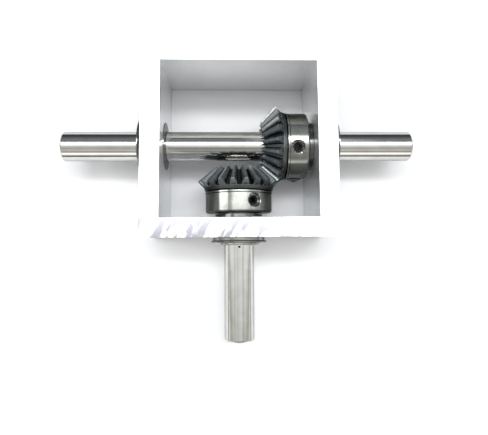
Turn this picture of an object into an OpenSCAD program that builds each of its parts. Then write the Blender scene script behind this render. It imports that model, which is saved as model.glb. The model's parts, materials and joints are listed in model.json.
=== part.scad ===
// Right-angle bevel gear drive: two equal straight bevel gears on crossed shafts,
// carried by flanged bushes in a short slice of square box section.
// Millimetres. X runs along the cross shaft, -Y along the output shaft, +Z is up.
// The origin is the centre of the footprint, on the face that the frame rests on.

/* [Frame] */
// Outside width of the square box section
frame_w = 100; // [90:1:110]
// Wall thickness of the box section
frame_wall = 10; // [8:0.5:12]
// Height of the slice cut from the box section
frame_h = 50; // [48:1:60]

/* [Shafts] */
// Diameter of both shafts
shaft_d = 16; // [14:1:16]
// Overall length of the cross shaft
cross_len = 190.5; // [170:0.5:220]
// Reach of the output shaft, from the crossing of the axes to its free end
output_reach = 104.6; // [90:0.1:130]
// Chamfer on the shaft ends
shaft_chamfer = 0.8; // [0.2:0.1:1]

/* [Gears] */
// Number of teeth on each gear, a multiple of four
teeth = 20; // [20:4:20]
// Outside diameter over the tooth tips
gear_od = 44.5; // [43:0.5:46]
// Length of the teeth along the cone
face_w = 11.7; // [10:0.1:13]
// Pressure angle
pressure_angle = 20; // [20:1:25]
// Distance that each gear stands back from perfect mesh, for backlash
setback = 0.6; // [0.3:0.1:1]
// Diameter of the plain hub
hub_d = 36; // [34:0.5:37]
// Distance from the crossing of the axes to the end of the hub
hub_end = 37; // [36:0.1:37.4]

/* [Bushes and rings] */
// Outside diameter of the bush body
bush_d = 22; // [20:0.5:24]
// Diameter of the bush flange
flange_d = 28; // [26:0.5:32]
// Thickness of the bush flange
flange_t = 1.8; // [1.5:0.1:3]
// Diameter of the outer thrust washers
washer_d = 30; // [24:0.5:34]
// Thickness of the outer thrust washers
washer_t = 1; // [0.5:0.1:1.5]
// End play of the cross shaft at each side, between the bush flange and its thrust washer
cross_play = 0.7; // [0:0.1:1]
// Diameter of the spacers between wall and hub
spacer_d = 26; // [24:0.5:30]

/* [Set screws] */
// Thread diameter of the set screws
screw_d = 6; // [5:0.5:6]
// Length of the set screws
screw_len = 8; // [6:0.5:9]
// Angle of the cross gear's first set screw from straight up
cross_screw_angle = 11; // [-30:1:30]
// Angle of the output gear's first set screw from straight up
output_screw_angle = -26; // [-40:1:40]

/* [Hidden] */
$fn = 96;
// How far a cutter runs past the faces that it cuts
past = 1;

// Where the axes cross, seen from the origin
axis_y = (output_reach - frame_w / 2) / 2;
axis_z = frame_h / 2;

// Running gaps
bore_gap = 0.04;
end_gap = 0.1;

// Chamfer round a bush flange
flange_edge = 0.3;

// Shafts
shaft_r = shaft_d / 2;
inner_face = frame_w / 2 - frame_wall;
outer_face = frame_w / 2;
output_start = 14;
spot_r = 0.65;
spot_depth = 0.8;
spot_at = 55;

// Retaining rings and their grooves
ring_t = 1;
groove_w = 1.1;
groove_r = shaft_r - 0.4;
washer_at = outer_face + flange_t;
ring_at = washer_at + washer_t + end_gap;
ring_r = groove_r + 0.02;
ring_outer_r = ring_r + 1.8;
ring_shift = 0.4;
lug_r = 1.4;
lug_hole_r = 0.75;
lug_at = ring_r + 2.1;
lug_angle = 16;
ring_gap_angle = 7;

// Spacers and washers inside the frame
inner_washer_d = 22;
inner_washer_t = 0.7;
spacer_t = inner_face - hub_end - end_gap - inner_washer_t;
shim_t = 0.5;
loose_gap = 0.2;

// Gear geometry, in a frame with the cone apex at 0 and the gear along +z.
// Both gears are equal, so the pitch cone and the back cone are at 45 degrees.
half_cone = 45;
cone_c = cos(half_cone);
gear_module = gear_od / (teeth + 2 * cone_c);
pitch_r = gear_module * teeth / 2;
cone_len = pitch_r / sin(half_cone);
toe_scale = (cone_len - face_w) / cone_len;
addendum = gear_module;
dedendum = 1.22 * gear_module;
tip_r = pitch_r + addendum * cone_c;
tip_z = pitch_r - addendum * cone_c;
root_r = pitch_r - dedendum * cone_c;
root_z = pitch_r + dedendum * cone_c;

// Turned steps between the teeth and the hub, and a fine line turned in the hub
hub_r = hub_d / 2;
band_r = hub_r + 0.4;
band_len = 1.9;
groove_len = 0.5;
groove_depth = 0.5;
shoulder_len = 1.1;
line_w = 0.25;

// The hub's end: a chamfer with a slight roundness
hub_chamfer = 1.2;
hub_round = 0.4;

// Involute of the equivalent spur gear that lies on the developed back cone
back_r = cone_len;
base_r = back_r * cos(pressure_angle);
top_r = back_r + addendum + 0.5;
low_r = back_r - dedendum;
flank_steps = 6;
pitch_turn = 360 / teeth;

// The root curve below the base circle: how deep its corner lies, and how wide the
// space still is there and at its floor, as parts of the width at the base circle
root_corner = 0.75;
corner_width = 0.93;
floor_width = 0.68;

// Where a tooth space starts and ends along the cone, past both ends of the teeth
space_start = 0.92 * toe_scale * cone_len;
space_end = 1.07 * cone_len;

// Thread form of the set screws
thread_pitch = 1;
thread_depth = 0.45;
thread_gap = 0.05;
socket_af = 3;
socket_depth = 3.2;
point_r = 1.6;
point_len = 1.2;
screw_lip = 0.5;
mouth_r = screw_d / 2 + 0.95;
mouth_depth = 0.7;
screw_from_crossing = 30.8;
screw_spread = 90;

// ---- Placing: local z runs outwards along a shaft, and local x points up ----

module at_crossing() translate([0, axis_y, axis_z]) children();
module to_left() at_crossing() rotate([0, -90, 0]) children();
module to_right() at_crossing() rotate([0, 90, 0]) rotate([0, 0, 180]) children();
module to_output() at_crossing() rotate([90, 0, 0]) rotate([0, 0, 90]) children();

// ---- Frame ----

module box_frame() {
    color("gainsboro")
        difference() {
            translate([0, axis_y, 0])
                linear_extrude(frame_h)
                    difference() {
                        square(frame_w, center = true);
                        square(frame_w - 2 * frame_wall, center = true);
                    }
            to_left() wall_bore();
            to_right() wall_bore();
            to_output() wall_bore();
        }
}

module wall_bore() {
    translate([0, 0, inner_face - past]) cylinder(d = bush_d, h = frame_wall + 2 * past);
}

// ---- Bushes, washers and spacers ----

module flanged_bush() {
    inner_r = shaft_r + bore_gap;
    edge = flange_edge;
    color("slategray")
        rotate_extrude()
            polygon([
                [inner_r, inner_face],
                [bush_d / 2, inner_face],
                [bush_d / 2, outer_face],
                [flange_d / 2, outer_face],
                [flange_d / 2, outer_face + flange_t - edge],
                [flange_d / 2 - edge, outer_face + flange_t],
                [inner_r, outer_face + flange_t]
            ]);
}

// A flat ring of diameter d and thickness t whose inner face is at z = start
module flat_ring(d, t, start) {
    color("dimgray")
        translate([0, 0, start])
            difference() {
                cylinder(d = d, h = t);
                translate([0, 0, -past]) cylinder(r = shaft_r + loose_gap, h = t + 2 * past);
            }
}

module outer_washer(play) flat_ring(washer_d, washer_t, washer_at + play);
module shim() flat_ring(spacer_d, shim_t, inner_face - shim_t);
module spacer() flat_ring(spacer_d, spacer_t, inner_face - spacer_t);
module hub_washer() flat_ring(inner_washer_d, inner_washer_t, hub_end + end_gap);

// ---- Shafts ----

// Outline of half a shaft between two stations, with a groove for each ring
module shaft_body(from, to, grooves) {
    color("silver")
        difference() {
            rotate_extrude()
                polygon([
                    [0, from],
                    [shaft_r - shaft_chamfer, from],
                    [shaft_r, from + shaft_chamfer],
                    [shaft_r, to - shaft_chamfer],
                    [shaft_r - shaft_chamfer, to],
                    [0, to]
                ]);
            for (at = grooves)
                translate([0, 0, at])
                    difference() {
                        cylinder(r = shaft_r + past, h = groove_w);
                        translate([0, 0, -past]) cylinder(r = groove_r, h = groove_w + 2 * past);
                    }
        }
}

module cross_shaft() {
    half = cross_len / 2;
    groove_at = ring_at + cross_play;
    to_right() shaft_body(-half, half, [groove_at, -groove_at - groove_w]);
}

module output_shaft() {
    to_output()
        difference() {
            shaft_body(output_start, output_reach, [ring_at]);
            translate([shaft_r - spot_depth, 0, spot_at])
                rotate([0, 90, 0]) cylinder(r = spot_r, h = spot_depth + past);
        }
}

// ---- Retaining rings: open rings with two drilled lugs ----

module retaining_ring(opening, play) {
    color("darkslategray")
        translate([0, 0, ring_at + play + (groove_w - ring_t) / 2])
            rotate([0, 0, opening])
                linear_extrude(ring_t)
                    difference() {
                        union() {
                            translate([-ring_shift, 0]) circle(r = ring_outer_r);
                            for (side = [-1, 1]) rotate(side * lug_angle) ring_lug();
                        }
                        circle(r = ring_r);
                        ring_opening();
                        for (side = [-1, 1])
                            rotate(side * lug_angle) translate([lug_at, 0]) circle(r = lug_hole_r);
                    }
}

module ring_lug() {
    translate([lug_at, 0]) circle(r = lug_r);
    translate([ring_r, -lug_r]) square([lug_at - ring_r, 2 * lug_r]);
}

module ring_opening() {
    far = 3 * ring_r;
    half = far * tan(ring_gap_angle);
    polygon([[0, 0], [far, -half], [far, half]]);
}

// ---- Bevel gears ----

function involute(a) = tan(a) * 180 / PI - a;

// Half of the space between two teeth, as an angle about the gear's own axis,
// at radius r of the developed back cone
function half_space(r) =
    let (a = acos(base_r / max(r, base_r)))
    pitch_turn / 4 - (involute(pressure_angle) - involute(a)) / cone_c;

// A ray from the apex through the back cone at radius r and angle a
function ray(r, a) = [
    r * cone_c * cos(a),
    r * cone_c * sin(a),
    back_r / sin(half_cone) - r * cone_c
];

// One flank of a tooth space from the tip down to the root, with its root curve
flank = concat(
    [for (i = [0 : flank_steps])
        let (r = top_r + (base_r - top_r) * i / flank_steps)
        [r, half_space(r)]],
    [[base_r + root_corner * (low_r - base_r), corner_width * half_space(base_r)],
     [low_r, floor_width * half_space(base_r)]]
);
space_outline = concat(
    [for (p = flank) ray(p[0], -p[1])],
    [for (p = flank) ray(p[0], p[1])]
);

// The outline cut by a plane square to the pitch cone, at distance d from the apex
function cut_at(d) = [for (p = space_outline) p * d * sqrt(2) / (p[0] + p[2])];

// Both flanks run straight to the apex, so every face of the space is flat
module tooth_space() {
    n = len(flank);
    polyhedron(
        points = concat(cut_at(space_start), cut_at(space_end)),
        faces = concat(
            [for (i = [0 : n - 2]) [i, n + i, n + i + 1, i + 1]],
            [for (i = [0 : n - 2]) [2 * n + i, 2 * n + i + 1, 3 * n + i + 1, 3 * n + i]],
            [for (i = [0 : n - 2]) [i, i + 1, 2 * n + i + 1, 2 * n + i]],
            [for (i = [0 : n - 2]) [n + i, 3 * n + i, 3 * n + i + 1, n + i + 1]],
            [[0, 2 * n, 3 * n, n], [n - 1, 2 * n - 1, 4 * n - 1, 3 * n - 1]]
        )
    );
}

module gear_blank() {
    end = hub_end - setback;
    band_end = root_z + band_len;
    groove_end = band_end + groove_len;
    shoulder_end = groove_end + shoulder_len;
    rotate_extrude()
        polygon([
            [shaft_r, root_z * toe_scale],
            [root_r * toe_scale, root_z * toe_scale],
            [tip_r * toe_scale, tip_z * toe_scale],
            [tip_r, tip_z],
            [root_r, root_z],
            [band_r, band_end],
            [band_r - groove_depth, band_end + groove_len / 2],
            [band_r, groove_end],
            [hub_r, shoulder_end],
            [hub_r - line_w, shoulder_end + line_w / 2],
            [hub_r, shoulder_end + line_w],
            [hub_r, end - hub_chamfer],
            [hub_r - hub_round, end - hub_round],
            [hub_r - hub_chamfer, end],
            [shaft_r, end]
        ]);
}

// Zigzag outline of a thread of outer radius r, as rings one pitch apart
function thread_outline(r, from, to) = concat(
    [[0, from]],
    [for (k = [0 : 2 * floor((to - from) / thread_pitch)])
        [k % 2 == 0 ? r - thread_depth : r, from + k * thread_pitch / 2]],
    [[r - thread_depth, to], [0, to]]
);

// A threaded hole from the bore to the outside of the hub, with a countersunk mouth
module screw_hole() {
    r = screw_d / 2 + thread_gap;
    rotate([0, 90, 0]) {
        rotate_extrude() polygon(thread_outline(r, shaft_r - past, hub_r + past));
        translate([0, 0, hub_r - mouth_depth])
            cylinder(r1 = r - thread_depth / 2, r2 = mouth_r, h = mouth_depth + past / 2);
    }
}

// The second set screw lies a quarter turn further round, on the side that the first leans to
function side_turn(screw_turn) = screw_spread * sign(screw_turn);

// A gear turned by a part of one tooth pitch, with its first set screw at an angle from the top
module bevel_gear(phase, screw_turn) {
    color("darkgray")
        difference() {
            translate([0, 0, setback])
                difference() {
                    gear_blank();
                    for (i = [0 : teeth - 1])
                        rotate([0, 0, (i + phase) * pitch_turn]) tooth_space();
                }
            for (turn = [0, 1])
                translate([0, 0, screw_from_crossing])
                    rotate([0, 0, screw_turn + turn * side_turn(screw_turn)]) screw_hole();
        }
}

// ---- Set screws ----

module set_screw(turn) {
    end = shaft_r + screw_len;
    color("dimgray")
        translate([0, 0, screw_from_crossing])
            rotate([0, 0, turn])
                rotate([0, 90, 0])
                    difference() {
                        intersection() {
                            rotate_extrude() polygon(thread_outline(screw_d / 2, shaft_r - past, end));
                            rotate_extrude() polygon(screw_limits(end));
                        }
                        translate([0, 0, end - socket_depth])
                            cylinder(d = socket_af / cos(30), h = socket_depth + past, $fn = 6);
                    }
}

// Envelope of a set screw: a blunt cone point at the shaft and a chamfered outer end
function screw_limits(end) = let (r = screw_d / 2) [
    [0, shaft_r],
    [point_r, shaft_r],
    [r, shaft_r + point_len],
    [r, end - screw_lip],
    [r - screw_lip, end],
    [0, end]
];

// ---- The named pieces ----

module left_bush() to_left() flanged_bush();
module right_bush() to_right() flanged_bush();
module output_bush() to_output() flanged_bush();
module left_thrust_washer() to_left() outer_washer(cross_play);
module right_thrust_washer() to_right() outer_washer(cross_play);
module output_thrust_washer() to_output() outer_washer(0);
module left_shim() to_left() shim();
module right_spacer() to_right() spacer();
module output_spacer() to_output() spacer();
module right_hub_washer() to_right() hub_washer();
module output_hub_washer() to_output() hub_washer();
module left_retaining_ring() to_left() retaining_ring(160, cross_play);
module right_retaining_ring() to_right() retaining_ring(200, cross_play);
module output_retaining_ring() to_output() retaining_ring(-72, 0);
module cross_gear() to_right() bevel_gear(0.5, cross_screw_angle);
module cross_gear_top_screw() to_right() set_screw(cross_screw_angle);
module cross_gear_side_screw()
    to_right() set_screw(cross_screw_angle + side_turn(cross_screw_angle));
module output_gear() to_output() bevel_gear(0, output_screw_angle);
module output_gear_top_screw() to_output() set_screw(output_screw_angle);
module output_gear_side_screw()
    to_output() set_screw(output_screw_angle + side_turn(output_screw_angle));

box_frame();
left_bush();
right_bush();
output_bush();
left_thrust_washer();
right_thrust_washer();
output_thrust_washer();
left_shim();
right_spacer();
output_spacer();
right_hub_washer();
output_hub_washer();
cross_shaft();
left_retaining_ring();
right_retaining_ring();
cross_gear();
cross_gear_top_screw();
cross_gear_side_screw();
output_shaft();
output_retaining_ring();
output_gear();
output_gear_top_screw();
output_gear_side_screw();
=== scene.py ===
"""Bevel gear pair: two straight bevel gears on crossed shafts in a slice of square box section."""
import json
import math

import bmesh
import bpy
from mathutils import Euler, Matrix, Vector


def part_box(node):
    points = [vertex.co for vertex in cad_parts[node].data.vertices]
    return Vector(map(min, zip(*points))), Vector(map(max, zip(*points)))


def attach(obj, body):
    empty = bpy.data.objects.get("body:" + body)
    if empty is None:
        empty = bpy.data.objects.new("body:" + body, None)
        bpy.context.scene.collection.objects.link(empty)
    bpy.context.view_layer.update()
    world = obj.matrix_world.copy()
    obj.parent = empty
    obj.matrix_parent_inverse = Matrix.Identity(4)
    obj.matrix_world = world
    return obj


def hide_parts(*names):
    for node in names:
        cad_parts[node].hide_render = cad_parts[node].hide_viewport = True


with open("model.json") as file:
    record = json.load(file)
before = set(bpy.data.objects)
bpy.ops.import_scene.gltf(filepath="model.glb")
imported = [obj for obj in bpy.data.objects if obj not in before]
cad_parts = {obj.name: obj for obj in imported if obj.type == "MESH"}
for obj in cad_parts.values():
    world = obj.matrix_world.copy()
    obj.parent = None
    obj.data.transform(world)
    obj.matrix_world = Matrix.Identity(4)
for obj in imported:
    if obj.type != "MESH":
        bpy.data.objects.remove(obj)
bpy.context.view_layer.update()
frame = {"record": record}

MM = 0.001

# ---- Where things are, from the frame, in millimetres ----


def low_mm(node):
    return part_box(node)[0] / MM


def high_mm(node):
    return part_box(node)[1] / MM


def middle_mm(node):
    return (low_mm(node) + high_mm(node)) / 2


crossing = Vector((middle_mm("box_frame").x, middle_mm("cross_shaft").y, middle_mm("cross_shaft").z))
frame_half = (high_mm("box_frame").x - low_mm("box_frame").x) / 2
frame_height = high_mm("box_frame").z - low_mm("box_frame").z
inner_half = high_mm("right_spacer").x - crossing.x
shaft_r = (high_mm("cross_shaft").z - low_mm("cross_shaft").z) / 2


def span_x(node):
    """Start and end of a node along the cross shaft, outwards from the crossing."""
    ends = sorted([abs(low_mm(node).x - crossing.x), abs(high_mm(node).x - crossing.x)])
    return ends[0], ends[1]


def span_y(node):
    """Start and end of a node along the output shaft, outwards from the crossing."""
    return crossing.y - high_mm(node).y, crossing.y - low_mm(node).y


def radius_z(node):
    return (high_mm(node).z - low_mm(node).z) / 2


def placed(outward):
    """Places a piece made with z outwards along a shaft and x up, in millimetres from the crossing."""
    z = Vector(outward)
    x = Vector((0, 0, 1))
    turn = Matrix((x, z.cross(x), z)).transposed().to_4x4()
    return Matrix.Translation(crossing * MM) @ turn


TO_LEFT = placed((-1, 0, 0))
TO_RIGHT = placed((1, 0, 0))
TO_OUTPUT = placed((0, -1, 0))

# ---- Camera ----

SENSOR_WIDTH = 36.0
LENS = 34.63
FRAMING_SHIFT = -0.0484
CAMERA_FROM_CROSSING = Vector((-6.45, -49.83, 256.68))
CAMERA_DEGREES = (5.2446, -2.0544, -0.4256)

camera_data = bpy.data.cameras.new("camera")
camera_data.sensor_width = SENSOR_WIDTH
camera_data.lens = LENS
camera_data.shift_y = FRAMING_SHIFT
camera_data.clip_start = 0.01
camera_data.clip_end = 20.0
camera = bpy.data.objects.new("camera", camera_data)
camera.location = (crossing + CAMERA_FROM_CROSSING) * MM
camera.rotation_euler = Euler([math.radians(a) for a in CAMERA_DEGREES], "XYZ")
bpy.context.scene.collection.objects.link(camera)
bpy.context.scene.camera = camera

# ---- Outlines, in millimetres ----

CORNER_STEPS = 3
LEAST_CORNER = math.radians(20)
MOST_OF_A_SIDE = 0.45


def rounded(outline, radius, closed=True):
    """An outline with every real corner replaced by a small arc."""
    out = []
    count = len(outline)
    for k in range(count):
        here = Vector(outline[k])
        if not closed and k in (0, count - 1):
            out.append(here)
            continue
        before = Vector(outline[k - 1]) - here
        after = Vector(outline[(k + 1) % count]) - here
        turn = math.pi - before.angle(after)
        if turn < LEAST_CORNER:
            out.append(here)
            continue
        cut = min(radius * math.tan(turn / 2), MOST_OF_A_SIDE * before.length, MOST_OF_A_SIDE * after.length)
        start = here + before.normalized() * cut
        end = here + after.normalized() * cut
        for step in range(CORNER_STEPS + 1):
            t = step / CORNER_STEPS
            out.append(start * (1 - t) ** 2 + here * 2 * t * (1 - t) + end * t * t)
    return out


def ring_outline(inner, outer, start, end):
    """Outline, as radius and z, of a flat ring."""
    return [(inner, start), (outer, start), (outer, end), (inner, end)]


# ---- Meshes ----

SEGMENTS = 144
ON_AXIS = 1e-6
BEYOND = 1.0  # how far a cutting tool runs past the surface that it cuts


def mesh_object(name, verts, faces, place):
    """A mesh in millimetres, made into an object in metres."""
    mesh = bpy.data.meshes.new(name)
    mesh.from_pydata([Vector(v) * MM for v in verts], [], faces)
    work = bmesh.new()
    work.from_mesh(mesh)
    bmesh.ops.recalc_face_normals(work, faces=work.faces)
    work.to_mesh(mesh)
    work.free()
    piece = bpy.data.objects.new(name, mesh)
    piece.matrix_world = place
    bpy.context.scene.collection.objects.link(piece)
    return piece


def rings_to_mesh(rings, closed):
    """Joins rings of equal point counts. A ring given as one point is a pole."""
    verts, faces, starts = [], [], []
    for ring in rings:
        starts.append(len(verts))
        verts.extend(ring)
    pairs = list(zip(range(len(rings)), range(1, len(rings))))
    if closed:
        pairs.append((len(rings) - 1, 0))
    for a, b in pairs:
        na, nb = len(rings[a]), len(rings[b])
        for k in range(max(na, nb)):
            n = (k + 1) % max(na, nb)
            if na == 1:
                faces.append((starts[a], starts[b] + n, starts[b] + k))
            elif nb == 1:
                faces.append((starts[a] + k, starts[a] + n, starts[b]))
            else:
                faces.append((starts[a] + k, starts[a] + n, starts[b] + n, starts[b] + k))
    return verts, faces


def circle(radius, z, segments):
    """A ring of points at a height, or one point on the axis."""
    if radius < ON_AXIS:
        return [(0, 0, z)]
    turns = [2 * math.pi * k / segments for k in range(segments)]
    return [(radius * math.cos(a), radius * math.sin(a), z) for a in turns]


def lathe(name, outline, place, closed=True, segments=SEGMENTS):
    """An outline (radius, z) turned round the z axis."""
    rings = [circle(r, z, segments) for r, z in outline]
    verts, faces = rings_to_mesh(rings, closed)
    return mesh_object(name, verts, faces, place)


def bore_tool(radius, start, end, place, segments=SEGMENTS):
    """A cylinder for cutting a hole through what lies between two heights."""
    outline = ring_outline(0, radius, start - BEYOND, end + BEYOND)
    return lathe("bore_tool", outline, place, closed=False, segments=segments)


def finish_shading(piece, angle=32):
    """Smooth shading that keeps edges sharper than an angle, with flat faces kept flat."""
    piece.data.shade_smooth()
    piece.data.set_sharp_from_angle(angle=math.radians(angle))
    level = piece.modifiers.new("even_normals", "WEIGHTED_NORMAL")
    level.keep_sharp = True


def apply_modifiers(piece):
    """Turns a piece's modifiers into plain mesh."""
    graph = bpy.context.evaluated_depsgraph_get()
    baked = bpy.data.meshes.new_from_object(piece.evaluated_get(graph))
    piece.modifiers.clear()
    piece.data = baked


def cut(piece, cutters):
    """Cuts tools out of a piece, and removes the tools."""
    for tool in cutters:
        step = piece.modifiers.new("cut", "BOOLEAN")
        step.operation = "DIFFERENCE"
        step.solver = "EXACT"
        step.object = tool
    apply_modifiers(piece)
    for tool in cutters:
        bpy.data.objects.remove(tool)


def soften(piece, width, angle=35, segments=2):
    """A small round along every sharp edge."""
    step = piece.modifiers.new("soften", "BEVEL")
    step.width = width * MM
    step.segments = segments
    step.limit_method = "ANGLE"
    step.angle_limit = math.radians(angle)


def prism(name, outline, start, end, place):
    """An outline (x, y) drawn out from z = start to z = end."""
    n = len(outline)
    verts = [(x, y, start) for x, y in outline] + [(x, y, end) for x, y in outline]
    faces = [tuple(range(n)), tuple(range(2 * n - 1, n - 1, -1))]
    faces += [(k, (k + 1) % n, n + (k + 1) % n, n + k) for k in range(n)]
    return mesh_object(name, verts, faces, place)


# ---- Frame ----

bush_r = 11.0
frame_edge = 0.22


def build_frame():
    """Four walls in one, with a bore for each bush."""
    z0 = low_mm("box_frame").z - crossing.z
    z1 = z0 + frame_height
    place = Matrix.Translation(crossing * MM)
    corners = [(-1, -1), (1, -1), (1, 1), (-1, 1)]
    verts = [(sx * w, sy * w, z) for z in (z0, z1) for w in (frame_half, inner_half) for sx, sy in corners]
    faces = []
    for k in range(4):
        n = (k + 1) % 4
        lower_rim = (k, n, 4 + n, 4 + k)
        upper_rim = (8 + k, 8 + n, 12 + n, 12 + k)
        outer_wall = (k, n, 8 + n, 8 + k)
        inner_wall = (4 + k, 4 + n, 12 + n, 12 + k)
        faces += [lower_rim, upper_rim, outer_wall, inner_wall]
    piece = mesh_object("box_frame_walls", verts, faces, place)
    cut(piece, [bore_tool(bush_r, inner_half, frame_half, side) for side in (TO_LEFT, TO_RIGHT, TO_OUTPUT)])
    soften(piece, frame_edge, angle=60)
    apply_modifiers(piece)
    finish_shading(piece)
    return piece


# ---- Bushes, washers and rings ----

bush_gap = 0.04
bush_edge = 0.3
washer_gap = 0.2
washer_chamfer = 0.4
ring_edge = 0.2


def build_bush(name, flange_r, end, place):
    """A flanged bush, whose flange ends where the CAD bush does."""
    inner = shaft_r + bush_gap
    outline = [(inner, inner_half), (bush_r, inner_half), (bush_r, frame_half), (flange_r, frame_half),
               (flange_r, end), (inner, end)]
    piece = lathe(name, rounded(outline, bush_edge), place)
    finish_shading(piece)
    return piece


def build_ring(name, outer, span, place, chamfer=0.0):
    """A flat ring, with a chamfer on the outside of its first face if one is given."""
    outline = ring_outline(shaft_r + washer_gap, outer, span[0], span[1])
    if chamfer:
        outline[1:2] = [(outer - chamfer, span[0]), (outer, span[0] + chamfer)]
    piece = lathe(name, rounded(outline, ring_edge), place)
    finish_shading(piece)
    return piece


groove_r = shaft_r - 0.4
clip_inner = groove_r + 0.02
clip_back = 1.8
clip_shift = 0.4
lug_r = 1.4
lug_at = clip_inner + 2.1
lug_hole = 0.75
lug_turn = math.radians(16)
clip_gap = math.radians(7)
clip_edge = 0.08
CLIP_STEPS = 96


def clip_reach(a):
    """Outer radius of a retaining ring at an angle from its opening."""
    body = clip_inner + clip_back
    reach = -clip_shift * math.cos(a) + math.sqrt(body ** 2 - (clip_shift * math.sin(a)) ** 2)
    for side in (-1, 1):
        off = a - side * lug_turn
        sideways = lug_at * math.sin(off)
        if math.cos(off) > 0 and abs(sideways) < lug_r:
            reach = max(reach, lug_at * math.cos(off) + math.sqrt(lug_r ** 2 - sideways ** 2))
    return reach


def build_clip(name, span, opening, place):
    """A retaining ring: open, wider at its back, with two drilled lugs at its opening."""
    turns = [clip_gap + (2 * math.pi - 2 * clip_gap) * k / CLIP_STEPS for k in range(CLIP_STEPS + 1)]
    outline = [(clip_inner * math.cos(a), clip_inner * math.sin(a)) for a in turns]
    outline += [(clip_reach(a) * math.cos(a), clip_reach(a) * math.sin(a)) for a in reversed(turns)]
    turn = Matrix.Rotation(math.radians(opening), 4, "Z")
    piece = prism(name, outline, span[0], span[1], place @ turn)
    holes = []
    for side in (-1, 1):
        at = Matrix.Rotation(side * lug_turn, 4, "Z") @ Matrix.Translation((lug_at * MM, 0, 0))
        holes.append(bore_tool(lug_hole, span[0], span[1], place @ turn @ at, segments=24))
    cut(piece, holes)
    soften(piece, clip_edge)
    apply_modifiers(piece)
    finish_shading(piece)
    return piece


# ---- Shafts ----

groove_w = 1.1
groove_play = 0.05
groove_edge = 0.12
shaft_edge = 0.8
spot_r = 0.65
spot_depth = 0.8
spot_at = 55.0


def shaft_outline(start, end, grooves):
    """Half of a shaft's outline, with chamfered ends and a groove for each ring."""
    points = [(0, start), (shaft_r - shaft_edge, start), (shaft_r, start + shaft_edge)]
    for at in grooves:
        points += [(shaft_r, at), (groove_r, at), (groove_r, at + groove_w), (shaft_r, at + groove_w)]
    points += [(shaft_r, end - shaft_edge), (shaft_r - shaft_edge, end), (0, end)]
    return points


def build_cross_shaft():
    """A shaft with a groove near each end for a retaining ring."""
    clip_start = span_x("right_retaining_ring")[0] - groove_play
    reach = high_mm("cross_shaft").x - crossing.x
    outline = shaft_outline(-reach, reach, [-clip_start - groove_w, clip_start])
    piece = lathe("cross_shaft_turned", rounded(outline, groove_edge, closed=False), TO_RIGHT, closed=False)
    finish_shading(piece)
    return piece


def build_output_shaft():
    """A shaft with a groove for its retaining ring and a small drilled spot on top."""
    clip_start = span_y("output_retaining_ring")[0] - groove_play
    start, end = span_y("output_shaft")
    outline = shaft_outline(start, end, [clip_start])
    piece = lathe("output_shaft_turned", rounded(outline, groove_edge, closed=False), TO_OUTPUT, closed=False)
    at = Matrix.Translation((0, 0, spot_at * MM)) @ Matrix.Rotation(math.radians(90), 4, "Y")
    foot, top = shaft_r - spot_depth, shaft_r + BEYOND
    tool = [(0, foot - spot_r / 2), (spot_r, foot), (spot_r, top), (0, top)]
    cut(piece, [lathe("spot_tool", tool, TO_OUTPUT @ at, closed=False, segments=32)])
    finish_shading(piece)
    return piece


# ---- Set screws ----

thread_pitch = 1.0
thread_depth = 0.45
thread_steepness = 1.35
thread_root = 0.15
screw_r = 3.0
screw_along = 30.8
screw_length = 8.0
point_r = 1.6
point_length = 1.2
screw_lip = 0.5
socket_flats = 3.0
socket_depth = 3.2
socket_degrees = 12
mouth_drop = 0.25
mouth_rise = 0.07
mouth_in = 0.12
mouth_out = 0.2
screw_seat = 0.02
THREAD_SEGMENTS = 48
RINGS_A_PITCH = 8
CROSS_SCREWS = (11, 101)  # degrees from straight up, round the shaft
OUTPUT_SCREWS = (-26, -116)


def thread_radius(crest, z, turn):
    """Radius of a thread at a height and an angle: a flat-topped ridge that climbs one pitch a turn."""
    phase = (z / thread_pitch - turn / (2 * math.pi)) % 1.0
    ridge = 1 - abs(2 * phase - 1)
    return crest - thread_depth + thread_depth * min(1.0, max(0.0, thread_steepness * ridge - thread_root))


def threaded(name, crest, start, end, place, envelope=lambda z: math.inf):
    """A threaded rod along z, kept inside an envelope radius where one is given."""
    steps = int(round((end - start) / thread_pitch * RINGS_A_PITCH))
    rings = [[(0, 0, start)]]
    for k in range(steps + 1):
        z = start + (end - start) * k / steps
        ring = []
        for s in range(THREAD_SEGMENTS):
            turn = 2 * math.pi * s / THREAD_SEGMENTS
            r = min(envelope(z), thread_radius(crest, z, turn))
            ring.append((r * math.cos(turn), r * math.sin(turn), z))
        rings.append(ring)
    rings.append([(0, 0, end)])
    verts, faces = rings_to_mesh(rings, closed=False)
    return mesh_object(name, verts, faces, place)


def radial(place, turn):
    """Places a piece with z pointing outwards through the hub, at an angle from straight up."""
    return (place @ Matrix.Translation((0, 0, screw_along * MM)) @ Matrix.Rotation(math.radians(turn), 4, "Z")
            @ Matrix.Rotation(math.radians(90), 4, "Y"))


def build_screw(name, place, turn):
    """A socket set screw with a cone point, standing on its shaft."""
    start, end = shaft_r + screw_seat, shaft_r + screw_length

    def envelope(z):
        point = point_r + (screw_r - point_r) * (z - start) / point_length
        lip = screw_r - screw_lip + (end - z)
        return min(screw_r, point, lip)

    at = radial(place, turn)
    piece = threaded(name, screw_r, start, end, at, envelope)
    across = socket_flats / 2 / math.cos(math.radians(30))
    corners = [math.radians(60 * k + socket_degrees) for k in range(6)]
    hexagon = [(across * math.cos(a), across * math.sin(a)) for a in corners]
    socket = prism("socket_tool", hexagon, end - socket_depth, end + BEYOND, at)
    low, high = end - mouth_drop, end + mouth_rise
    mouth = lathe("mouth_tool", [(0, low), (across - mouth_in, low), (across + mouth_out, high), (0, high)],
                  at, closed=False, segments=THREAD_SEGMENTS)
    cut(piece, [socket, mouth])
    finish_shading(piece, angle=25)
    return piece


# ---- Bevel gears ----

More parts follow.
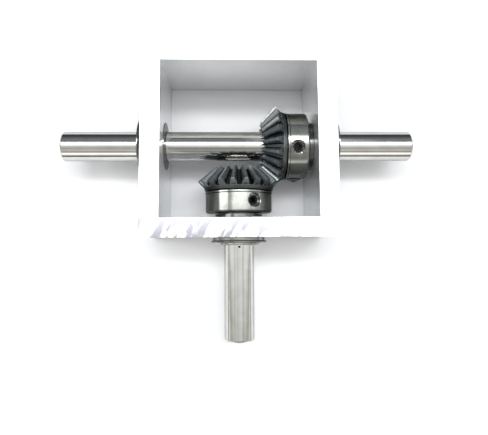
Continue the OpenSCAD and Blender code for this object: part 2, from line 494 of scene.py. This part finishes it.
teeth = 20
pressure = math.radians(20)
dedendum = 1.22
root_narrowing = 0.4
setback = 0.6
face_w = 11.7
band_r = 18.4
band_length = 1.9
band_edge = 0.15
groove_depth = 0.9
groove_length = 0.5
shoulder_length = 1.1
shoulder_step = 0.1
shoulder_taper = 0.12
line_w = 0.25
line_depth = 0.3
hub_r = 18.0
HUB_CORNER = ((0.0, 1.2), (0.15, 0.75), (0.55, 0.25), (1.2, 0.0))  # inwards, and back from the hub's end
bore_chamfer = 0.4
gear_edge = 0.12
tooth_edge = 0.16
half_cone = math.radians(45)
cone = math.cos(half_cone)
pitch_turn = 2 * math.pi / teeth
FLANK_STEPS = 9
ROOT_STEPS = 4
LAND_STEPS = 3
FLOOR_STEPS = 3

gear_tip_r = (high_mm("cross_gear").z - low_mm("cross_gear").z) / 2
gear_module = 2 * gear_tip_r / (teeth + 2 * cone)
pitch_r = gear_module * teeth / 2
cone_length = pitch_r / math.sin(half_cone)
toe = (cone_length - face_w) / cone_length
tip_reach = cone_length + gear_module
root_reach = cone_length - dedendum * gear_module
base_reach = cone_length * math.cos(pressure)
root_r = root_reach * cone
root_z = cone_length / math.sin(half_cone) - root_r
tip_z = cone_length / math.sin(half_cone) - tip_reach * cone
floor_slope = root_r / root_z
tip_slope = tip_reach * cone / tip_z
band_start = root_z + setback
teeth_end = band_start + band_length
groove_end = teeth_end + groove_length
back_sum = cone_length / math.sin(half_cone) + setback


def involute(a):
    return math.tan(a) - a


def half_space(reach):
    """Half of the space between two teeth, as an angle, at a reach along the back cone."""
    a = math.acos(min(1.0, base_reach / reach))
    return pitch_turn / 4 - (involute(pressure) - involute(a)) / cone


def tooth_side():
    """Half of a tooth, from its root to its tip, as reach and angle from the tooth's middle."""
    side = []
    widest = half_space(base_reach)
    for k in range(ROOT_STEPS):
        t = math.pi / 2 * (1 - k / ROOT_STEPS)
        reach = root_reach + (base_reach - root_reach) * (1 - math.sin(t))
        side.append((reach, pitch_turn / 2 - widest * (1 - root_narrowing + root_narrowing * math.cos(t))))
    for k in range(FLANK_STEPS + 1):
        reach = base_reach + (tip_reach - base_reach) * k / FLANK_STEPS
        side.append((reach, pitch_turn / 2 - half_space(reach)))
    return side


def cone_point(reach, turn, scale):
    """A point at a reach along the back cone, drawn towards the cone's apex by a scale."""
    r = reach * cone * scale
    z = (cone_length / math.sin(half_cone) - reach * cone) * scale
    return (r * math.cos(turn), r * math.sin(turn), z + setback)


def tooth_row(side, middle):
    """Points round one tooth and the space after it, as reach and angle."""
    root, land = side[0][1], side[-1][1]
    gap = pitch_turn - 2 * root
    row = [(reach, middle - a) for reach, a in side]
    row += [(tip_reach, middle - land + 2 * land * k / (LAND_STEPS + 1)) for k in range(1, LAND_STEPS + 1)]
    row += [(reach, middle + a) for reach, a in reversed(side)]
    row += [(root_reach, middle + root + gap * k / (FLOOR_STEPS + 1)) for k in range(1, FLOOR_STEPS + 1)]
    return row


def foot_row(side, middle):
    """Points across the foot of one tooth, between its roots."""
    root = side[0][1]
    return [(root_reach, middle - root + 2 * root * k / (FLOOR_STEPS + 1)) for k in range(1, FLOOR_STEPS + 1)]


def toothed_end(verts, side, phase, scale):
    """Adds one end of the teeth. Gives each tooth's points, round it and across its foot."""
    end = []
    for tooth in range(teeth):
        middle = (tooth + 0.5 + phase) * pitch_turn
        added = []
        for row in (tooth_row(side, middle), foot_row(side, middle)):
            added.append(list(range(len(verts), len(verts) + len(row))))
            verts.extend(cone_point(reach, turn, scale) for reach, turn in row)
        end.append(added)
    return end


def end_faces(end, size):
    """Flat faces of the teeth at one end, and the closed line of points along their roots."""
    faces, roots = [], []
    for points, foot in end:
        left, land = points[:size], points[size:size + LAND_STEPS]
        right = points[size + LAND_STEPS:2 * size + LAND_STEPS][::-1]
        faces.append([left[0], left[1], right[1], right[0]] + foot[::-1])
        faces += [(left[k], left[k + 1], right[k + 1], right[k]) for k in range(1, size - 2)]
        faces.append([left[-2], left[-1]] + land + [right[-1], right[-2]])
        roots += [points[0]] + foot + points[2 * size + LAND_STEPS - 1:]
    return faces, roots


def strip(first, second):
    """Faces between two closed lines of points."""
    count = len(first)
    return [(first[k], first[(k + 1) % count], second[(k + 1) % count], second[k]) for k in range(count)]


def gear_profile(hub_end):
    """Radius and z of a gear's body, from the heel over band, groove, shoulder, hub and bore to the toe."""
    shoulder_end = groove_end + shoulder_length
    toe_z = root_z * toe + setback
    outline = [
        (root_r, root_z + setback), (band_r, teeth_end - band_edge), (band_r - groove_depth, teeth_end),
        (band_r - groove_depth, groove_end), (band_r - shoulder_step, groove_end + shoulder_step),
        (band_r - shoulder_taper, shoulder_end - shoulder_step), (hub_r, shoulder_end),
        (hub_r - line_depth, shoulder_end + line_w / 2), (hub_r, shoulder_end + line_w),
        *[(hub_r - inwards, hub_end - back) for inwards, back in HUB_CORNER],
        (shaft_r + bore_chamfer, hub_end), (shaft_r, hub_end - bore_chamfer),
        (shaft_r, toe_z + bore_chamfer), (shaft_r + bore_chamfer, toe_z), (root_r * toe, toe_z)]
    return rounded(outline, gear_edge, closed=False)[1:-1]


def gear_mesh(name, phase, place, hub_end):
    """Teeth between two back cones, and the body that joins them from heel to toe."""
    side = tooth_side()
    verts = []
    toe_end = toothed_end(verts, side, phase, toe)
    heel_end = toothed_end(verts, side, phase, 1.0)
    faces = strip([k for points, foot in toe_end for k in points],
                  [k for points, foot in heel_end for k in points])
    toe_faces, toe_roots = end_faces(toe_end, len(side))
    heel_faces, before = end_faces(heel_end, len(side))
    faces += toe_faces + heel_faces
    turns = [math.atan2(verts[k][1], verts[k][0]) for k in before]
    for r, z in gear_profile(hub_end):
        ring = list(range(len(verts), len(verts) + len(turns)))
        verts += [(r * math.cos(a), r * math.sin(a), z) for a in turns]
        faces += strip(before, ring)
        before = ring
    faces += strip(before, toe_roots)
    return mesh_object(name, verts, faces, place)


mouth_r = 3.3
mouth_depth = 1.1
lip_r = 3.8
lip_drop = 0.27
lip_over = (0.4, 0.3)  # how far the tool runs past the lip, outwards and up
thread_play = 0.05
MOUTH_SEGMENTS = 72


def mouth_tool(place):
    """The mouth of a screw hole: a plain bore whose lip follows the round of the hub."""
    turns = [2 * math.pi * k / MOUTH_SEGMENTS for k in range(MOUTH_SEGMENTS)]

    def ring(r, drop):
        return [(r * math.cos(a), r * math.sin(a), math.sqrt(hub_r ** 2 - (r * math.sin(a)) ** 2) - drop)
                for a in turns]

    foot = hub_r - mouth_depth
    rings = [circle(0, foot, 1), circle(mouth_r, foot, MOUTH_SEGMENTS), ring(mouth_r, lip_drop),
             ring(lip_r, 0.0), ring(lip_r + lip_over[0], -lip_over[1]), circle(0, hub_r + 2 * BEYOND, 1)]
    verts, faces = rings_to_mesh(rings, closed=False)
    return mesh_object("mouth_tool", verts, faces, place)


def build_gear(name, phase, place, hub_end, screw_turns):
    """A gear with softened edges and a threaded hole for each set screw."""
    piece = gear_mesh(name, phase, place, hub_end)
    soften(piece, tooth_edge, angle=38, segments=3)
    apply_modifiers(piece)
    tools = []
    for turn in screw_turns:
        at = radial(place, turn)
        tools.append(threaded("hole_tool", screw_r + thread_play, shaft_r - BEYOND, hub_r + BEYOND, at))
        tools.append(mouth_tool(at))
    cut(piece, tools)
    finish_shading(piece, angle=30)
    return piece


# ---- Floor: a sheet of plain pale board ----

SHEET_SIDES = 170
SHEET_FRONT = 185
SHEET_BACK = 118
sheet = [(crossing.x + side * SHEET_SIDES, crossing.y + reach, 0.0)
         for side, reach in ((-1, -SHEET_FRONT), (1, -SHEET_FRONT), (1, SHEET_BACK), (-1, SHEET_BACK))]
floor = mesh_object("floor", sheet, [(0, 1, 2, 3)], Matrix.Identity(4))

# ---- World: a soft studio, brighter overhead ----

world = bpy.data.worlds.new("studio")
bpy.context.scene.world = world
world.use_nodes = True
sky_nodes, sky_links = world.node_tree.nodes, world.node_tree.links
sky_nodes.clear()
coords = sky_nodes.new("ShaderNodeTexCoord")
split = sky_nodes.new("ShaderNodeSeparateXYZ")
sky_links.new(coords.outputs["Generated"], split.inputs[0])


def angle_from_top(axis):
    """The angle from straight up towards an axis, as 0 to 1 for -180 to 180 degrees."""
    turn = sky_nodes.new("ShaderNodeMath")
    turn.operation = "ARCTAN2"
    sky_links.new(split.outputs[axis], turn.inputs[0])
    sky_links.new(split.outputs["Z"], turn.inputs[1])
    scaled = sky_nodes.new("ShaderNodeMapRange")
    scaled.inputs["From Min"].default_value = -math.pi
    scaled.inputs["From Max"].default_value = math.pi
    sky_links.new(turn.outputs[0], scaled.inputs["Value"])
    return scaled.outputs[0]


def ramp(value, stops):
    """Brightness by angle in degrees from straight up."""
    node = sky_nodes.new("ShaderNodeValToRGB")
    elements = node.color_ramp.elements
    while len(elements) > 1:
        elements.remove(elements[-1])
    for k, (angle, color) in enumerate(stops):
        position = (angle + 180.0) / 360.0
        if k == 0:
            stop = elements[0]
            stop.position = position
        else:
            stop = elements.new(position)
        rgb = color if isinstance(color, tuple) else (color,) * 3
        stop.color = (*rgb, 1.0)
    sky_links.new(value, node.inputs[0])
    return node.outputs[0]


# A Mix node's colour sockets.
MIX_A, MIX_B, MIX_RESULT = 6, 7, 2


def sky_blend(mode, first, second):
    """Two skies, or a sky and a colour, put together."""
    node = sky_nodes.new("ShaderNodeMix")
    node.data_type = "RGBA"
    node.blend_type = mode
    node.inputs["Factor"].default_value = 1.0
    for socket, value in ((node.inputs[MIX_A], first), (node.inputs[MIX_B], second)):
        if isinstance(value, tuple):
            socket.default_value = value
        else:
            sky_links.new(value, socket)
    return node.outputs[MIX_RESULT]


PANEL_POWER = 9.0
FILL = (0.32, 0.34, 0.34, 1.0)
WHITE = (1.0, 1.0, 1.0, 1.0)
BACKDROP = (0.93, 0.94, 0.96, 1.0)

along_y = angle_from_top("Y")
along_x = angle_from_top("X")

# The room round the object, from the horizon in front, over the top, to the horizon behind.
room = ramp(along_y, [
    (-112, (0.62, 0.62, 0.60)), (-103, (0.30, 0.30, 0.29)), (-97, (0.10, 0.10, 0.10)),
    (-88, (0.28, 0.27, 0.25)), (-81, (0.66, 0.64, 0.60)), (-76, (1.20, 1.17, 1.10)),
    (-71, (1.75, 1.72, 1.65)), (-64, (1.80, 1.77, 1.70)), (-60, (0.90, 0.88, 0.83)),
    (-54, (0.36, 0.35, 0.32)), (-46, (0.58, 0.56, 0.52)), (-40, (0.72, 0.70, 0.66)),
    (-32, (0.62, 0.60, 0.56)), (-24, (0.48, 0.47, 0.44)), (-14, (0.74, 0.74, 0.71)),
    (-6, (0.98, 0.98, 0.96)), (20, (0.75, 0.76, 0.78)), (26, (0.50, 0.51, 0.54)),
    (31, (0.36, 0.37, 0.39)), (38, (0.20, 0.21, 0.22)), (47, (0.24, 0.25, 0.26)),
    (58, (0.17, 0.18, 0.19)), (70, (0.10, 0.11, 0.12)), (84, (0.06, 0.065, 0.07)),
    (94, (0.05, 0.055, 0.06)), (103, (0.45, 0.46, 0.48))])

# A long light panel overhead, brighter at its far edge, with a gap in it.
panel_y = ramp(along_y, [(0.5, 0.0), (3.0, 0.27), (11, 0.33), (14.0, 1.4), (20, 1.4), (22.5, 0.0)])
panel_x = ramp(along_x, [
    (-70, 0.0), (-66, 0.92), (-42, 0.92), (-39, 0.01), (-25, 0.01), (-22, 1.0), (24, 1.0), (28, 0.6),
    (33, 0.35), (37, 0.12), (54, 0.08), (62, 0.0)])
panel = sky_blend("MULTIPLY", sky_blend("MULTIPLY", panel_y, panel_x), (*(PANEL_POWER,) * 3, 1.0))

# The dark of the camera and its stand in front, and uneven light from side to side just short of the top.
body_y = ramp(along_y, [(-66, 0.0), (-62, 0.40), (-20, 0.40), (-14, 0.0)])
body_x = ramp(along_x, [(-10, 0.0), (-8.5, 1.0), (8.5, 1.0), (11, 0.0)])
strips_x = ramp(along_x, [
    (-90, 0.20), (-72, 0.10), (-60, -0.18), (-46, -0.08), (-36, 0.24), (-26, -0.06), (-14, 0.20),
    (-3, 0.06), (10, -0.20), (18, -0.10), (23, 0.18), (31, 0.26), (40, 0.0), (52, -0.22),
    (63, -0.05), (72, 0.16), (90, -0.2)])
strips_y = ramp(along_y, [(-20, 0.0), (-14, 1.0), (-1, 1.0), (1, 0.0)])
shade = sky_blend("ADD", sky_blend("MULTIPLY", body_y, body_x), sky_blend("MULTIPLY", strips_x, strips_y))
shaded_room = sky_blend("MULTIPLY", room, sky_blend("SUBTRACT", WHITE, shade))

# A weak fill beyond the panel, a little to the right.
fill_y = ramp(along_y, [(24, 0.0), (29, 1.0), (62, 1.0), (80, 0.0)])
fill_x = ramp(along_x, [(3, 0.0), (8, 1.0), (17, 1.0), (25, 0.0)])
fill = sky_blend("MULTIPLY", sky_blend("MULTIPLY", fill_y, fill_x), FILL)

studio_light = sky_blend("ADD", sky_blend("ADD", shaded_room, fill), panel)
background = sky_nodes.new("ShaderNodeBackground")
sky_links.new(studio_light, background.inputs["Color"])
plain = sky_nodes.new("ShaderNodeBackground")
plain.inputs["Color"].default_value = BACKDROP
path = sky_nodes.new("ShaderNodeLightPath")
mix = sky_nodes.new("ShaderNodeMixShader")
sky_links.new(path.outputs["Is Camera Ray"], mix.inputs[0])
sky_links.new(background.outputs[0], mix.inputs[1])
sky_links.new(plain.outputs[0], mix.inputs[2])
world_out = sky_nodes.new("ShaderNodeOutputWorld")
sky_links.new(mix.outputs[0], world_out.inputs[0])
bpy.context.scene.view_settings.view_transform = "Standard"

# ---- Materials ----


class Shader:
    """A material and short ways to add nodes to it."""

    def __init__(self, name):
        self.material = bpy.data.materials.new(name)
        self.material.use_nodes = True
        self.tree = self.material.node_tree
        self.bsdf = self.tree.nodes["Principled BSDF"]

    def node(self, kind, inputs=(), **settings):
        made = self.tree.nodes.new("ShaderNode" + kind)
        for key, value in settings.items():
            setattr(made, key, value)
        for key, value in dict(inputs).items():
            self.feed(made.inputs[key], value)
        return made

    def feed(self, socket, value):
        if isinstance(value, bpy.types.NodeSocket):
            self.tree.links.new(value, socket)
        else:
            socket.default_value = value

    def math(self, operation, a, b=0.0):
        return self.node("Math", operation=operation, inputs={0: a, 1: b}).outputs[0]

    def plus(self, a, b):
        return self.math("ADD", a, b)

    def minus(self, a, b):
        return self.math("SUBTRACT", a, b)

    def times(self, a, b):
        return self.math("MULTIPLY", a, b)

    def place(self):
        """Position in mm in a piece's own axes. A turned piece has z along its axis."""
        coords = self.node("TexCoord")
        scaled = self.node("VectorMath", operation="SCALE",
                           inputs={0: coords.outputs["Object"], "Scale": 1.0 / MM})
        split = self.node("SeparateXYZ", inputs={0: scaled.outputs[0]})
        return scaled.outputs[0], split.outputs[0], split.outputs[1], split.outputs[2]

    def vector(self, x, y, z):
        return self.node("CombineXYZ", inputs={0: x, 1: y, 2: z}).outputs[0]

    def noise(self, vector, scale, detail=3.0, distortion=0.0):
        made = self.node("TexNoise", inputs={"Vector": vector, "Scale": scale, "Detail": detail,
                                             "Roughness": 0.55, "Distortion": distortion})
        return made.outputs[0]

    def remap(self, value, low, high, to_low=0.0, to_high=1.0):
        made = self.node("MapRange", inputs={"Value": value, "From Min": low, "From Max": high,
                                             "To Min": to_low, "To Max": to_high})
        return made.outputs[0]

    def blend(self, factor, first, second):
        made = self.node("Mix", data_type="RGBA")
        self.feed(made.inputs["Factor"], factor)
        for socket, value in ((made.inputs[MIX_A], first), (made.inputs[MIX_B], second)):
            self.feed(socket, value if isinstance(value, bpy.types.NodeSocket) else (*value, 1.0))
        return made.outputs[MIX_RESULT]

    def bump(self, height, strength, distance):
        made = self.node("Bump", inputs={"Height": height, "Strength": strength, "Distance": distance * MM})
        return made.outputs[0]

    def set(self, socket, value):
        self.feed(self.bsdf.inputs[socket], value)


def turned_coords(shader):
    """Radius, angle and z of a point on a turned piece, in millimetres and turns."""
    vector, x, y, z = shader.place()
    radius = shader.math("SQRT", shader.plus(shader.times(x, x), shader.times(y, y)))
    angle = shader.math("DIVIDE", shader.math("ARCTAN2", y, x), 2 * math.pi)
    return vector, radius, angle, z


# Near black, for painted shade in the corners and recesses of turned pieces.
SHADE_BLACK = (0.02, 0.02, 0.02)


def turned_metal(name, color, dark, roughness, lines=1.0, end_shade=0.0, sunk=False):
    """Turned or ground steel: fine rings round the axis, faint stains, painted shade on the end faces where
    stacked pieces meet, and, with sunk, painted shade in grooves and drilled spots.
    """
    s = Shader(name)
    vector, radius, angle, z = turned_coords(s)
    rings = s.noise(s.vector(s.times(angle, 2.0), s.times(radius, 7.0), s.times(z, 7.0)), 1.0, 4.0)
    stains = s.noise(vector, 0.16, 3.0)
    grain = s.noise(vector, 3.0, 4.0)
    steel = s.blend(s.remap(stains, 0.35, 0.7), color, dark)
    facing = s.node("SeparateXYZ", inputs={0: s.node("TexCoord").outputs["Normal"]}).outputs[2]
    # Painted shade: end faces darken towards near black, more towards the outside of the frame; there they
    # are also rougher and less metallic.
    ends = s.times(s.remap(s.math("ABSOLUTE", facing), 0.10, 0.45, 0.0, end_shade),
                   s.remap(z, inner_half + 1, frame_half, 0.55, 1.0))
    steel = s.blend(ends, steel, SHADE_BLACK)
    if sunk:
        # Painted shade: groove floors and the walls of the drilled spot darken towards near black.
        below = s.remap(radius, shaft_r - 0.2, shaft_r - 0.05, 1.0, 0.0)
        sideways = s.remap(s.math("ABSOLUTE", facing), 0.4, 0.6, 1.0, 0.0)
        steel = s.blend(s.times(below, sideways), steel, SHADE_BLACK)
    s.set("Base Color", steel)
    worn = s.plus(s.remap(rings, 0.3, 0.7, -0.03, 0.05), s.remap(grain, 0.3, 0.7, -0.02, 0.03))
    s.set("Roughness", s.plus(s.plus(worn, roughness), s.times(ends, 0.45)))
    s.set("Metallic", s.minus(1.0, ends))
    s.set("Specular Tint", (0.5, 0.5, 0.5, 1.0))
    s.set("Normal", s.bump(rings, 0.10 * lines, 0.02))
    return s.material


def sawn_aluminium():
    """Box section: walls as extruded, the sawn rims crossed by smoother slanting streaks whose darker
    lavender colour is a painted reflection, and a painted shadow along the foot.
    """
    foot_z = low_mm("box_frame").z - crossing.z
    s = Shader("frame_aluminium")
    s.set("Metallic", 0.82)
    vector, x, y, z = s.place()
    drawn = s.noise(s.vector(x, y, s.times(z, 0.04)), 3.0, 4.0)
    marks = s.noise(vector, 0.12, 3.0, distortion=0.6)
    wall_rough = s.plus(s.remap(drawn, 0.3, 0.7, 0.26, 0.36), s.remap(marks, 0.55, 0.75, 0.0, 0.08))
    slant = math.radians(58)
    across = s.minus(s.times(x, math.sin(slant)), s.times(y, math.cos(slant)))
    along = s.plus(s.times(x, math.cos(slant)), s.times(y, math.sin(slant)))
    sweeps = s.noise(s.vector(s.times(across, 0.27), s.times(along, 0.05), 0.0), 1.0, 2.0)
    lines = s.noise(s.vector(s.times(across, 3.2), s.times(along, 0.25), 0.0), 1.0, 3.0)
    patches = s.noise(vector, 0.07, 2.0)
    # The smoother streaks lie only at the front, fading towards the back and the right; their darker lavender
    # colour is a painted reflection.
    fade = s.times(s.remap(y, -inner_half, -inner_half + 14, 1.0, 0.0), s.remap(x, 0.0, inner_half, 1.0, 0.5))
    streaks_and_reflection = s.times(s.times(s.remap(sweeps, 0.45, 0.56), s.remap(patches, 0.30, 0.46)), fade)
    rim_rough = s.minus(s.remap(lines, 0.3, 0.7, 0.36, 0.42), s.times(streaks_and_reflection, 0.26))
    up = s.node("SeparateXYZ", inputs={0: s.node("NewGeometry").outputs["Normal"]}).outputs[2]
    rim = s.remap(up, 0.80, 0.95)
    s.set("Roughness", s.plus(s.times(wall_rough, s.minus(1.0, rim)), s.times(rim_rough, rim)))
    # Painted shadow: a dark line along the foot, where the frame stands on the floor.
    foot = s.remap(z, foot_z + 0.3, foot_z + 1.1, 0.6, 0.0)
    # Painted reflection: the streaks turn the rim a darker lavender grey.
    bare = s.blend(s.times(streaks_and_reflection, rim), (0.84, 0.85, 0.86), (0.42, 0.425, 0.48))
    s.set("Base Color", s.blend(foot, bare, (0.1, 0.1, 0.1)))
    height = s.plus(s.times(drawn, s.minus(1.0, rim)), s.times(lines, rim))
    s.set("Normal", s.bump(height, 0.12, 0.02))
    return s.material


def gear_steel():
    """Blackened teeth on a turned hub, with painted shade at the tooth roots, in the groove and round the
    screw holes, and a painted highlight along sharp edges.
    """
    s = Shader("gear_steel")
    s.set("Metallic", 1.0)
    vector, radius, angle, z = turned_coords(s)
    rings = s.noise(s.vector(s.times(angle, 2.0), s.times(radius, 5.0), s.times(z, 6.0)), 1.0, 4.0)
    stains = s.noise(vector, 0.18, 3.0)
    grain = s.noise(vector, 2.2, 4.0)
    slope = s.math("DIVIDE", radius, s.minus(z, setback))
    height = s.remap(slope, floor_slope, tip_slope)
    blots = s.noise(vector, 0.7, 3.0)
    # Painted shade: the teeth are darkest at their roots and lighten up the flanks, with random blots and
    # grain mixed in.
    smear_and_root_shade = s.plus(height, s.plus(s.remap(grain, 0.3, 0.7, -0.12, 0.12),
                                  s.remap(blots, 0.3, 0.7, -0.14, 0.18)))
    black = s.blend(s.remap(smear_and_root_shade, 0.10, 0.65), (0.045, 0.055, 0.06), (0.42, 0.46, 0.48))
    flanks = s.blend(s.remap(smear_and_root_shade, 0.84, 1.0), black, (0.27, 0.29, 0.30))
    back = s.remap(s.plus(radius, z), back_sum - 0.12, back_sum - 0.03)
    heel = s.blend(s.remap(smear_and_root_shade, 0.90, 1.0), (0.27, 0.30, 0.29), (0.60, 0.62, 0.60))
    teeth_color = s.blend(back, flanks, heel)
    teeth_color = s.blend(s.remap(z, band_start, band_start + 0.3), teeth_color, (0.12, 0.13, 0.135))
    hub_color = s.blend(s.remap(stains, 0.35, 0.7), (0.35, 0.355, 0.335), (0.26, 0.27, 0.25))
    toothed = s.remap(z, groove_end + 0.02, groove_end + 0.1, 1.0, 0.0)
    # Painted shade: the groove behind the teeth is near black.
    grooved = s.times(s.remap(z, teeth_end - 0.1, teeth_end - 0.02), toothed)
    # Painted highlight: sharp edges, found by pointiness, are lightened.
    edge_highlight = s.remap(s.node("NewGeometry").outputs["Pointiness"], 0.53, 0.60)
    # Painted shade: surfaces sunk below the hub round each screw hole are darkened.
    inward = s.remap(radius, hub_r - 0.10, hub_r - 0.03, 1.0, 0.0)
    within = s.remap(s.math("ABSOLUTE", s.minus(z, screw_along)), lip_r, lip_r + 0.1, 1.0, 0.0)
    hub_color = s.blend(s.times(inward, within), hub_color, (0.11, 0.113, 0.113))
    steel = s.blend(grooved, s.blend(toothed, hub_color, teeth_color), (0.01, 0.012, 0.012))
    s.set("Base Color", s.blend(s.times(edge_highlight, 0.75), steel, (0.45, 0.45, 0.43)))
    s.set("Specular Tint", (0.25, 0.26, 0.26, 1.0))
    polish = s.plus(s.times(toothed, 0.14), s.remap(rings, 0.3, 0.7, 0.15, 0.21))
    s.set("Roughness", s.plus(polish, s.remap(grain, 0.3, 0.7, -0.02, 0.04)))
    s.set("Normal", s.bump(s.plus(rings, s.times(grain, 0.5)), 0.15, 0.02))
    return s.material


def screw_steel():
    """Black oxide, rubbed bright round the end and on the crests of the thread."""
    s = Shader("screw_steel")
    s.set("Metallic", 1.0)
    vector, radius, angle, z = turned_coords(s)
    grain = s.noise(vector, 2.5, 4.0)
    root_of_thread = screw_r - thread_depth
    rubbed = s.times(s.remap(radius, root_of_thread - 0.2, root_of_thread), s.remap(grain, 0.30, 0.55))
    s.set("Base Color", s.blend(rubbed, (0.028, 0.029, 0.031), (0.26, 0.26, 0.25)))
    s.set("Roughness", s.remap(grain, 0.3, 0.7, 0.24, 0.36))
    s.set("Normal", s.bump(grain, 0.15, 0.03))
    return s.material


MATERIALS = {
    "frame_aluminium": sawn_aluminium(),
    "bush_steel": turned_metal("bush_steel", (0.34, 0.345, 0.33), (0.25, 0.255, 0.24), 0.09, end_shade=0.95),
    "washer_steel": turned_metal("washer_steel", (0.38, 0.385, 0.37), (0.28, 0.285, 0.27), 0.09, end_shade=0.95),
    "spacer_steel": turned_metal("spacer_steel", (0.17, 0.175, 0.175), (0.09, 0.095, 0.095), 0.10),
    "shaft_steel": turned_metal("shaft_steel", (0.71, 0.712, 0.695), (0.63, 0.63, 0.61), 0.055,
                                lines=0.5, sunk=True),
    "ring_steel": turned_metal("ring_steel", (0.45, 0.45, 0.44), (0.3, 0.3, 0.3), 0.12, end_shade=0.8),
    "gear_steel": gear_steel(),
    "screw_steel": screw_steel(),
}
floor_shader = Shader("floor_white")
floor_shader.set("Base Color", (0.86, 0.87, 0.89, 1.0))
floor_shader.set("Roughness", 0.9)
floor_shader.set("Specular IOR Level", 0.1)
floor.data.materials.append(floor_shader.material)

# ---- The pieces ----

SLOTS = {row["node"]: row["material_slot"] for row in frame["record"]["subparts"]}
BODIES = {n: body for body, nodes in frame["record"]["behaviour"]["bodies"].items() for n in nodes}


def stand_for(piece, node):
    """The piece takes a CAD node's place, body and material slot."""
    piece.data.materials.clear()
    piece.data.materials.append(MATERIALS[SLOTS[node]])
    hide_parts(node)
    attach(piece, BODIES[node])


# How each side's pieces are measured and placed.
SIDES = {"left": (span_x, TO_LEFT), "right": (span_x, TO_RIGHT), "output": (span_y, TO_OUTPUT)}
PLAIN_RINGS = ("left_shim", "right_spacer", "output_spacer", "right_hub_washer", "output_hub_washer")
CLIP_OPENINGS = {"left": 160, "right": 200, "output": -72}  # degrees from straight up

stand_for(build_frame(), "box_frame")
for side, (span, place) in SIDES.items():
    node = side + "_bush"
    stand_for(build_bush(node + "_turned", radius_z(node), span(node)[1], place), node)
for node in PLAIN_RINGS:
    span, place = SIDES[node.split("_")[0]]
    stand_for(build_ring(node + "_turned", radius_z(node), span(node), place), node)
for side, (span, place) in SIDES.items():
    node = side + "_thrust_washer"
    stand_for(build_ring(node + "_turned", radius_z(node), span(node), place, chamfer=washer_chamfer), node)
for side, (span, place) in SIDES.items():
    node = side + "_retaining_ring"
    stand_for(build_clip(node + "_cut", span(node), CLIP_OPENINGS[side], place), node)
stand_for(build_cross_shaft(), "cross_shaft")
stand_for(build_output_shaft(), "output_shaft")
for gear, side, phase, turns in (("cross_gear", "right", 0.5, CROSS_SCREWS),
                                 ("output_gear", "output", 0.0, OUTPUT_SCREWS)):
    span, place = SIDES[side]
    stand_for(build_gear(gear + "_cut", phase, place, span(gear)[1], turns), gear)
    for screw, turn in zip(("top", "side"), turns):
        node = f"{gear}_{screw}_screw"
        stand_for(build_screw(node + "_cut", place, turn), node)
